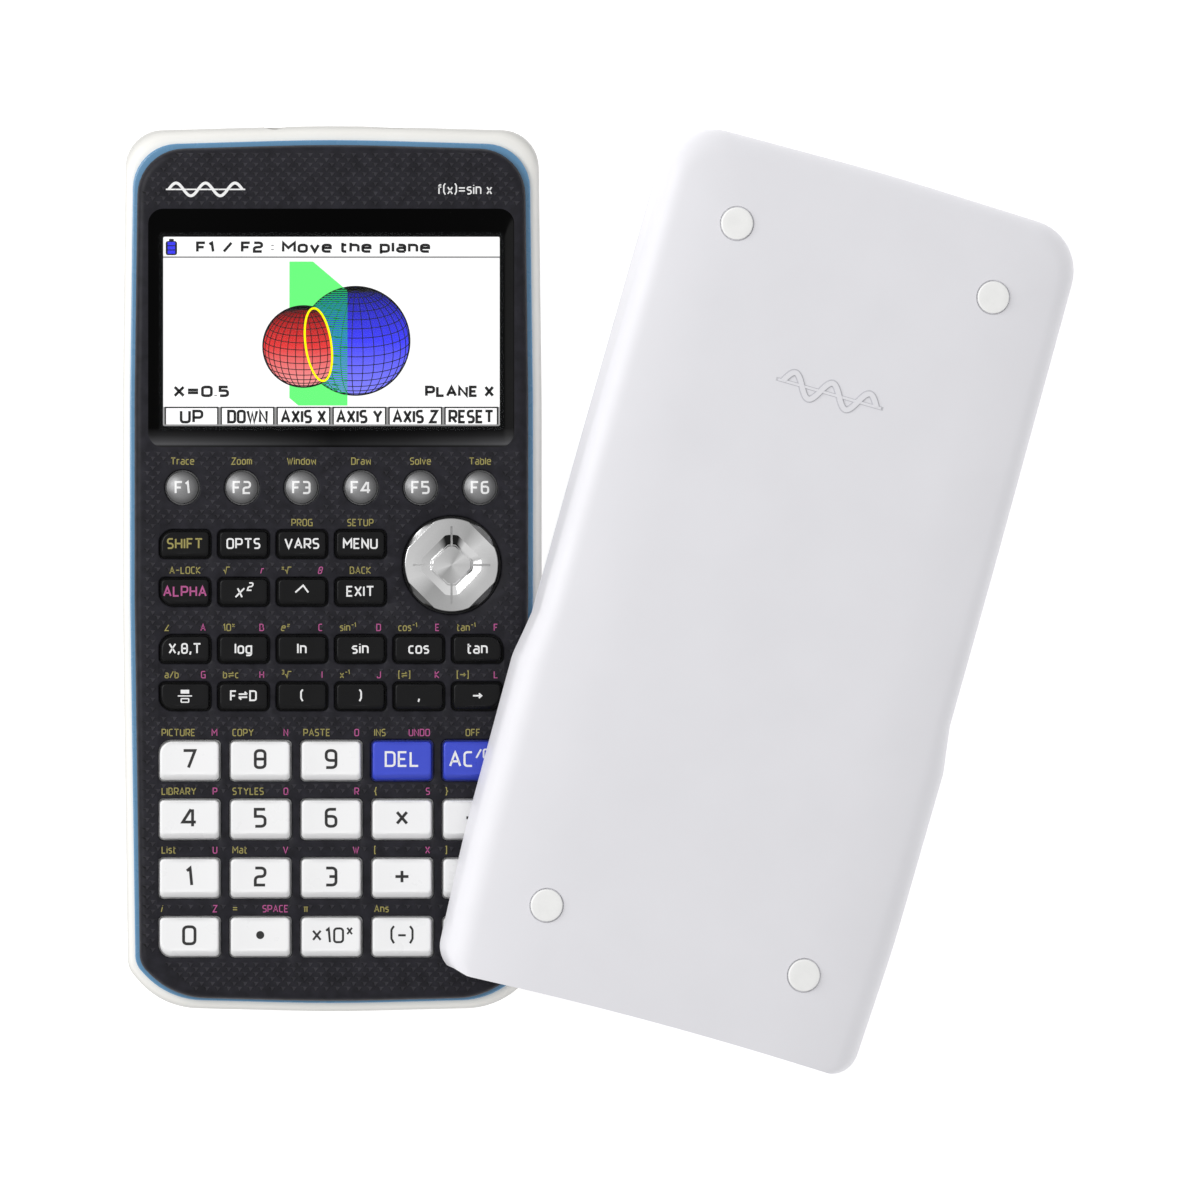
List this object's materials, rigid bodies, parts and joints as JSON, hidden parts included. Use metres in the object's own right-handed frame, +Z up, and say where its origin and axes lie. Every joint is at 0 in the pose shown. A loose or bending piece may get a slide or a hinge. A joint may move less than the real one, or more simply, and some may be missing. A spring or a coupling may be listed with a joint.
{
  "type": "graphing calculator",
  "caption": "Graphing calculator with colour display, travelling keys, rocking cursor pad, sliding battery door and a separate hard slide-on cover leaning on it.",
  "frame": {"origin": "centre of the calculator's flat back face, on the table it lies on", "axes": "+Z up out of the key face, +Y towards the display end, +X to the right as the keys are read"},
  "size_m": [0.2026, 0.2012, 0.0304],
  "materials": {
    "case_white": "fine satin",
    "face_black": "satin with a fine relief, polished around the display",
    "trim_blue": "gloss",
    "window": "clear, hard coated",
    "panel": "backlit panel",
    "board": "solder mask with dark chips and tinned contacts",
    "silicone": "matt",
    "cell_jacket": "gloss jacket",
    "screw_steel": "zinc plated",
    "inner_plastic": "moulded",
    "pad_metal": "spun, polished",
    "key_silver": "satin metallic paint",
    "key_black": "semi gloss",
    "key_white": "semi gloss",
    "key_blue": "semi gloss",
    "cover_grey": "fine spark texture",
    "foot_rubber": "matt"
  },
  "bodies": {
    "calculator": {"rear_case": "case_white", "front_case": "face_black", "trim_band": "trim_blue", "display_window": "window", "lcd_module": "panel", "main_board": "board", "key_membrane": "silicone", "batteries": "cell_jacket", "case_screws": "screw_steel"},
    "cursor_rocker": {"cursor_rocker": "inner_plastic"},
    "cursor_pad": {"cursor_pad": "pad_metal"},
    "battery_cover": {"battery_cover": "case_white"},
    "slide_cover": {"slide_cover": "cover_grey", "cover_feet": "foot_rubber"},
    "f1_key": {"f1_key": "key_silver"},
    "f2_key": {"f2_key": "key_silver"},
    "f3_key": {"f3_key": "key_silver"},
    "f4_key": {"f4_key": "key_silver"},
    "f5_key": {"f5_key": "key_silver"},
    "f6_key": {"f6_key": "key_silver"},
    "shift_key": {"shift_key": "key_black"},
    "option_key": {"option_key": "key_black"},
    "variables_key": {"variables_key": "key_black"},
    "menu_key": {"menu_key": "key_black"},
    "alpha_key": {"alpha_key": "key_black"},
    "square_key": {"square_key": "key_black"},
    "power_key": {"power_key": "key_black"},
    "exit_key": {"exit_key": "key_black"},
    "unknown_key": {"unknown_key": "key_black"},
    "log_key": {"log_key": "key_black"},
    "ln_key": {"ln_key": "key_black"},
    "sin_key": {"sin_key": "key_black"},
    "cos_key": {"cos_key": "key_black"},
    "tan_key": {"tan_key": "key_black"},
    "fraction_key": {"fraction_key": "key_black"},
    "convert_key": {"convert_key": "key_black"},
    "open_bracket_key": {"open_bracket_key": "key_black"},
    "close_bracket_key": {"close_bracket_key": "key_black"},
    "comma_key": {"comma_key": "key_black"},
    "arrow_key": {"arrow_key": "key_black"},
    "seven_key": {"seven_key": "key_white"},
    "eight_key": {"eight_key": "key_white"},
    "nine_key": {"nine_key": "key_white"},
    "delete_key": {"delete_key": "key_blue"},
    "clear_key": {"clear_key": "key_blue"},
    "four_key": {"four_key": "key_white"},
    "five_key": {"five_key": "key_white"},
    "six_key": {"six_key": "key_white"},
    "multiply_key": {"multiply_key": "key_white"},
    "divide_key": {"divide_key": "key_white"},
    "one_key": {"one_key": "key_white"},
    "two_key": {"two_key": "key_white"},
    "three_key": {"three_key": "key_white"},
    "plus_key": {"plus_key": "key_white"},
    "minus_key": {"minus_key": "key_white"},
    "zero_key": {"zero_key": "key_white"},
    "point_key": {"point_key": "key_white"},
    "exponent_key": {"exponent_key": "key_white"},
    "negate_key": {"negate_key": "key_white"},
    "enter_key": {"enter_key": "key_white"}
  },
  "joints": [
    {"name": "cursor_rock_up_down", "type": "hinge", "parent": "calculator", "child": "cursor_rocker", "pos_m": [0.0255, 0.0007, 0.01435], "axis": [1, 0, 0], "range_deg": [-3, 3], "stiffness_Nm_per_rad": 0.16},
    {"name": "cursor_rock_left_right", "type": "hinge", "parent": "cursor_rocker", "child": "cursor_pad", "pos_m": [0.0255, 0.0007, 0.01435], "axis": [0, 1, 0], "range_deg": [-3, 3], "stiffness_Nm_per_rad": 0.16},
    {"name": "battery_cover_slide", "type": "slide", "parent": "calculator", "child": "battery_cover", "axis": [0, -1, 0], "range_m": [0, 0.012]},
    {"name": "slide_cover_draw", "type": "slide", "parent": "calculator", "child": "slide_cover", "axis": [0.2689, 0.9632, 0], "range_m": [0, 0.08]},
    {"name": "f1_press", "type": "slide", "parent": "calculator", "child": "f1_key", "axis": [0, 0, -1], "range_m": [0, 0.0008], "stiffness_N_per_m": 500},
    {"name": "f2_press", "type": "slide", "parent": "calculator", "child": "f2_key", "axis": [0, 0, -1], "range_m": [0, 0.0008], "stiffness_N_per_m": 500},
    {"name": "f3_press", "type": "slide", "parent": "calculator", "child": "f3_key", "axis": [0, 0, -1], "range_m": [0, 0.0008], "stiffness_N_per_m": 500},
    {"name": "f4_press", "type": "slide", "parent": "calculator", "child": "f4_key", "axis": [0, 0, -1], "range_m": [0, 0.0008], "stiffness_N_per_m": 500},
    {"name": "f5_press", "type": "slide", "parent": "calculator", "child": "f5_key", "axis": [0, 0, -1], "range_m": [0, 0.0008], "stiffness_N_per_m": 500},
    {"name": "f6_press", "type": "slide", "parent": "calculator", "child": "f6_key", "axis": [0, 0, -1], "range_m": [0, 0.0008], "stiffness_N_per_m": 500},
    {"name": "shift_press", "type": "slide", "parent": "calculator", "child": "shift_key", "axis": [0, 0, -1], "range_m": [0, 0.0009], "stiffness_N_per_m": 500},
    {"name": "option_press", "type": "slide", "parent": "calculator", "child": "option_key", "axis": [0, 0, -1], "range_m": [0, 0.0009], "stiffness_N_per_m": 500},
    {"name": "variables_press", "type": "slide", "parent": "calculator", "child": "variables_key", "axis": [0, 0, -1], "range_m": [0, 0.0009], "stiffness_N_per_m": 500},
    {"name": "menu_press", "type": "slide", "parent": "calculator", "child": "menu_key", "axis": [0, 0, -1], "range_m": [0, 0.0009], "stiffness_N_per_m": 500},
    {"name": "alpha_press", "type": "slide", "parent": "calculator", "child": "alpha_key", "axis": [0, 0, -1], "range_m": [0, 0.0009], "stiffness_N_per_m": 500},
    {"name": "square_press", "type": "slide", "parent": "calculator", "child": "square_key", "axis": [0, 0, -1], "range_m": [0, 0.0009], "stiffness_N_per_m": 500},
    {"name": "power_press", "type": "slide", "parent": "calculator", "child": "power_key", "axis": [0, 0, -1], "range_m": [0, 0.0009], "stiffness_N_per_m": 500},
    {"name": "exit_press", "type": "slide", "parent": "calculator", "child": "exit_key", "axis": [0, 0, -1], "range_m": [0, 0.0009], "stiffness_N_per_m": 500},
    {"name": "unknown_press", "type": "slide", "parent": "calculator", "child": "unknown_key", "axis": [0, 0, -1], "range_m": [0, 0.0009], "stiffness_N_per_m": 500},
    {"name": "log_press", "type": "slide", "parent": "calculator", "child": "log_key", "axis": [0, 0, -1], "range_m": [0, 0.0009], "stiffness_N_per_m": 500},
    {"name": "ln_press", "type": "slide", "parent": "calculator", "child": "ln_key", "axis": [0, 0, -1], "range_m": [0, 0.0009], "stiffness_N_per_m": 500},
    {"name": "sin_press", "type": "slide", "parent": "calculator", "child": "sin_key", "axis": [0, 0, -1], "range_m": [0, 0.0009], "stiffness_N_per_m": 500},
    {"name": "cos_press", "type": "slide", "parent": "calculator", "child": "cos_key", "axis": [0, 0, -1], "range_m": [0, 0.0009], "stiffness_N_per_m": 500},
    {"name": "tan_press", "type": "slide", "parent": "calculator", "child": "tan_key", "axis": [0, 0, -1], "range_m": [0, 0.0009], "stiffness_N_per_m": 500},
    {"name": "fraction_press", "type": "slide", "parent": "calculator", "child": "fraction_key", "axis": [0, 0, -1], "range_m": [0, 0.0009], "stiffness_N_per_m": 500},
    {"name": "convert_press", "type": "slide", "parent": "calculator", "child": "convert_key", "axis": [0, 0, -1], "range_m": [0, 0.0009], "stiffness_N_per_m": 500},
    {"name": "open_bracket_press", "type": "slide", "parent": "calculator", "child": "open_bracket_key", "axis": [0, 0, -1], "range_m": [0, 0.0009], "stiffness_N_per_m": 500},
    {"name": "close_bracket_press", "type": "slide", "parent": "calculator", "child": "close_bracket_key", "axis": [0, 0, -1], "range_m": [0, 0.0009], "stiffness_N_per_m": 500},
    {"name": "comma_press", "type": "slide", "parent": "calculator", "child": "comma_key", "axis": [0, 0, -1], "range_m": [0, 0.0009], "stiffness_N_per_m": 500},
    {"name": "arrow_press", "type": "slide", "parent": "calculator", "child": "arrow_key", "axis": [0, 0, -1], "range_m": [0, 0.0009], "stiffness_N_per_m": 500},
    {"name": "seven_press", "type": "slide", "parent": "calculator", "child": "seven_key", "axis": [0, 0, -1], "range_m": [0, 0.001], "stiffness_N_per_m": 500},
    {"name": "eight_press", "type": "slide", "parent": "calculator", "child": "eight_key", "axis": [0, 0, -1], "range_m": [0, 0.001], "stiffness_N_per_m": 500},
    {"name": "nine_press", "type": "slide", "parent": "calculator", "child": "nine_key", "axis": [0, 0, -1], "range_m": [0, 0.001], "stiffness_N_per_m": 500},
    {"name": "delete_press", "type": "slide", "parent": "calculator", "child": "delete_key", "axis": [0, 0, -1], "range_m": [0, 0.001], "stiffness_N_per_m": 500},
    {"name": "clear_press", "type": "slide", "parent": "calculator", "child": "clear_key", "axis": [0, 0, -1], "range_m": [0, 0.001], "stiffness_N_per_m": 500},
    {"name": "four_press", "type": "slide", "parent": "calculator", "child": "four_key", "axis": [0, 0, -1], "range_m": [0, 0.001], "stiffness_N_per_m": 500},
    {"name": "five_press", "type": "slide", "parent": "calculator", "child": "five_key", "axis": [0, 0, -1], "range_m": [0, 0.001], "stiffness_N_per_m": 500},
    {"name": "six_press", "type": "slide", "parent": "calculator", "child": "six_key", "axis": [0, 0, -1], "range_m": [0, 0.001], "stiffness_N_per_m": 500},
    {"name": "multiply_press", "type": "slide", "parent": "calculator", "child": "multiply_key", "axis": [0, 0, -1], "range_m": [0, 0.001], "stiffness_N_per_m": 500},
    {"name": "divide_press", "type": "slide", "parent": "calculator", "child": "divide_key", "axis": [0, 0, -1], "range_m": [0, 0.001], "stiffness_N_per_m": 500},
    {"name": "one_press", "type": "slide", "parent": "calculator", "child": "one_key", "axis": [0, 0, -1], "range_m": [0, 0.001], "stiffness_N_per_m": 500},
    {"name": "two_press", "type": "slide", "parent": "calculator", "child": "two_key", "axis": [0, 0, -1], "range_m": [0, 0.001], "stiffness_N_per_m": 500},
    {"name": "three_press", "type": "slide", "parent": "calculator", "child": "three_key", "axis": [0, 0, -1], "range_m": [0, 0.001], "stiffness_N_per_m": 500},
    {"name": "plus_press", "type": "slide", "parent": "calculator", "child": "plus_key", "axis": [0, 0, -1], "range_m": [0, 0.001], "stiffness_N_per_m": 500},
    {"name": "minus_press", "type": "slide", "parent": "calculator", "child": "minus_key", "axis": [0, 0, -1], "range_m": [0, 0.001], "stiffness_N_per_m": 500},
    {"name": "zero_press", "type": "slide", "parent": "calculator", "child": "zero_key", "axis": [0, 0, -1], "range_m": [0, 0.001], "stiffness_N_per_m": 500},
    {"name": "point_press", "type": "slide", "parent": "calculator", "child": "point_key", "axis": [0, 0, -1], "range_m": [0, 0.001], "stiffness_N_per_m": 500},
    {"name": "exponent_press", "type": "slide", "parent": "calculator", "child": "exponent_key", "axis": [0, 0, -1], "range_m": [0, 0.001], "stiffness_N_per_m": 500},
    {"name": "negate_press", "type": "slide", "parent": "calculator", "child": "negate_key", "axis": [0, 0, -1], "range_m": [0, 0.001], "stiffness_N_per_m": 500},
    {"name": "enter_press", "type": "slide", "parent": "calculator", "child": "enter_key", "axis": [0, 0, -1], "range_m": [0, 0.001], "stiffness_N_per_m": 500, "deforming": ["key_membrane"]}
  ]
}
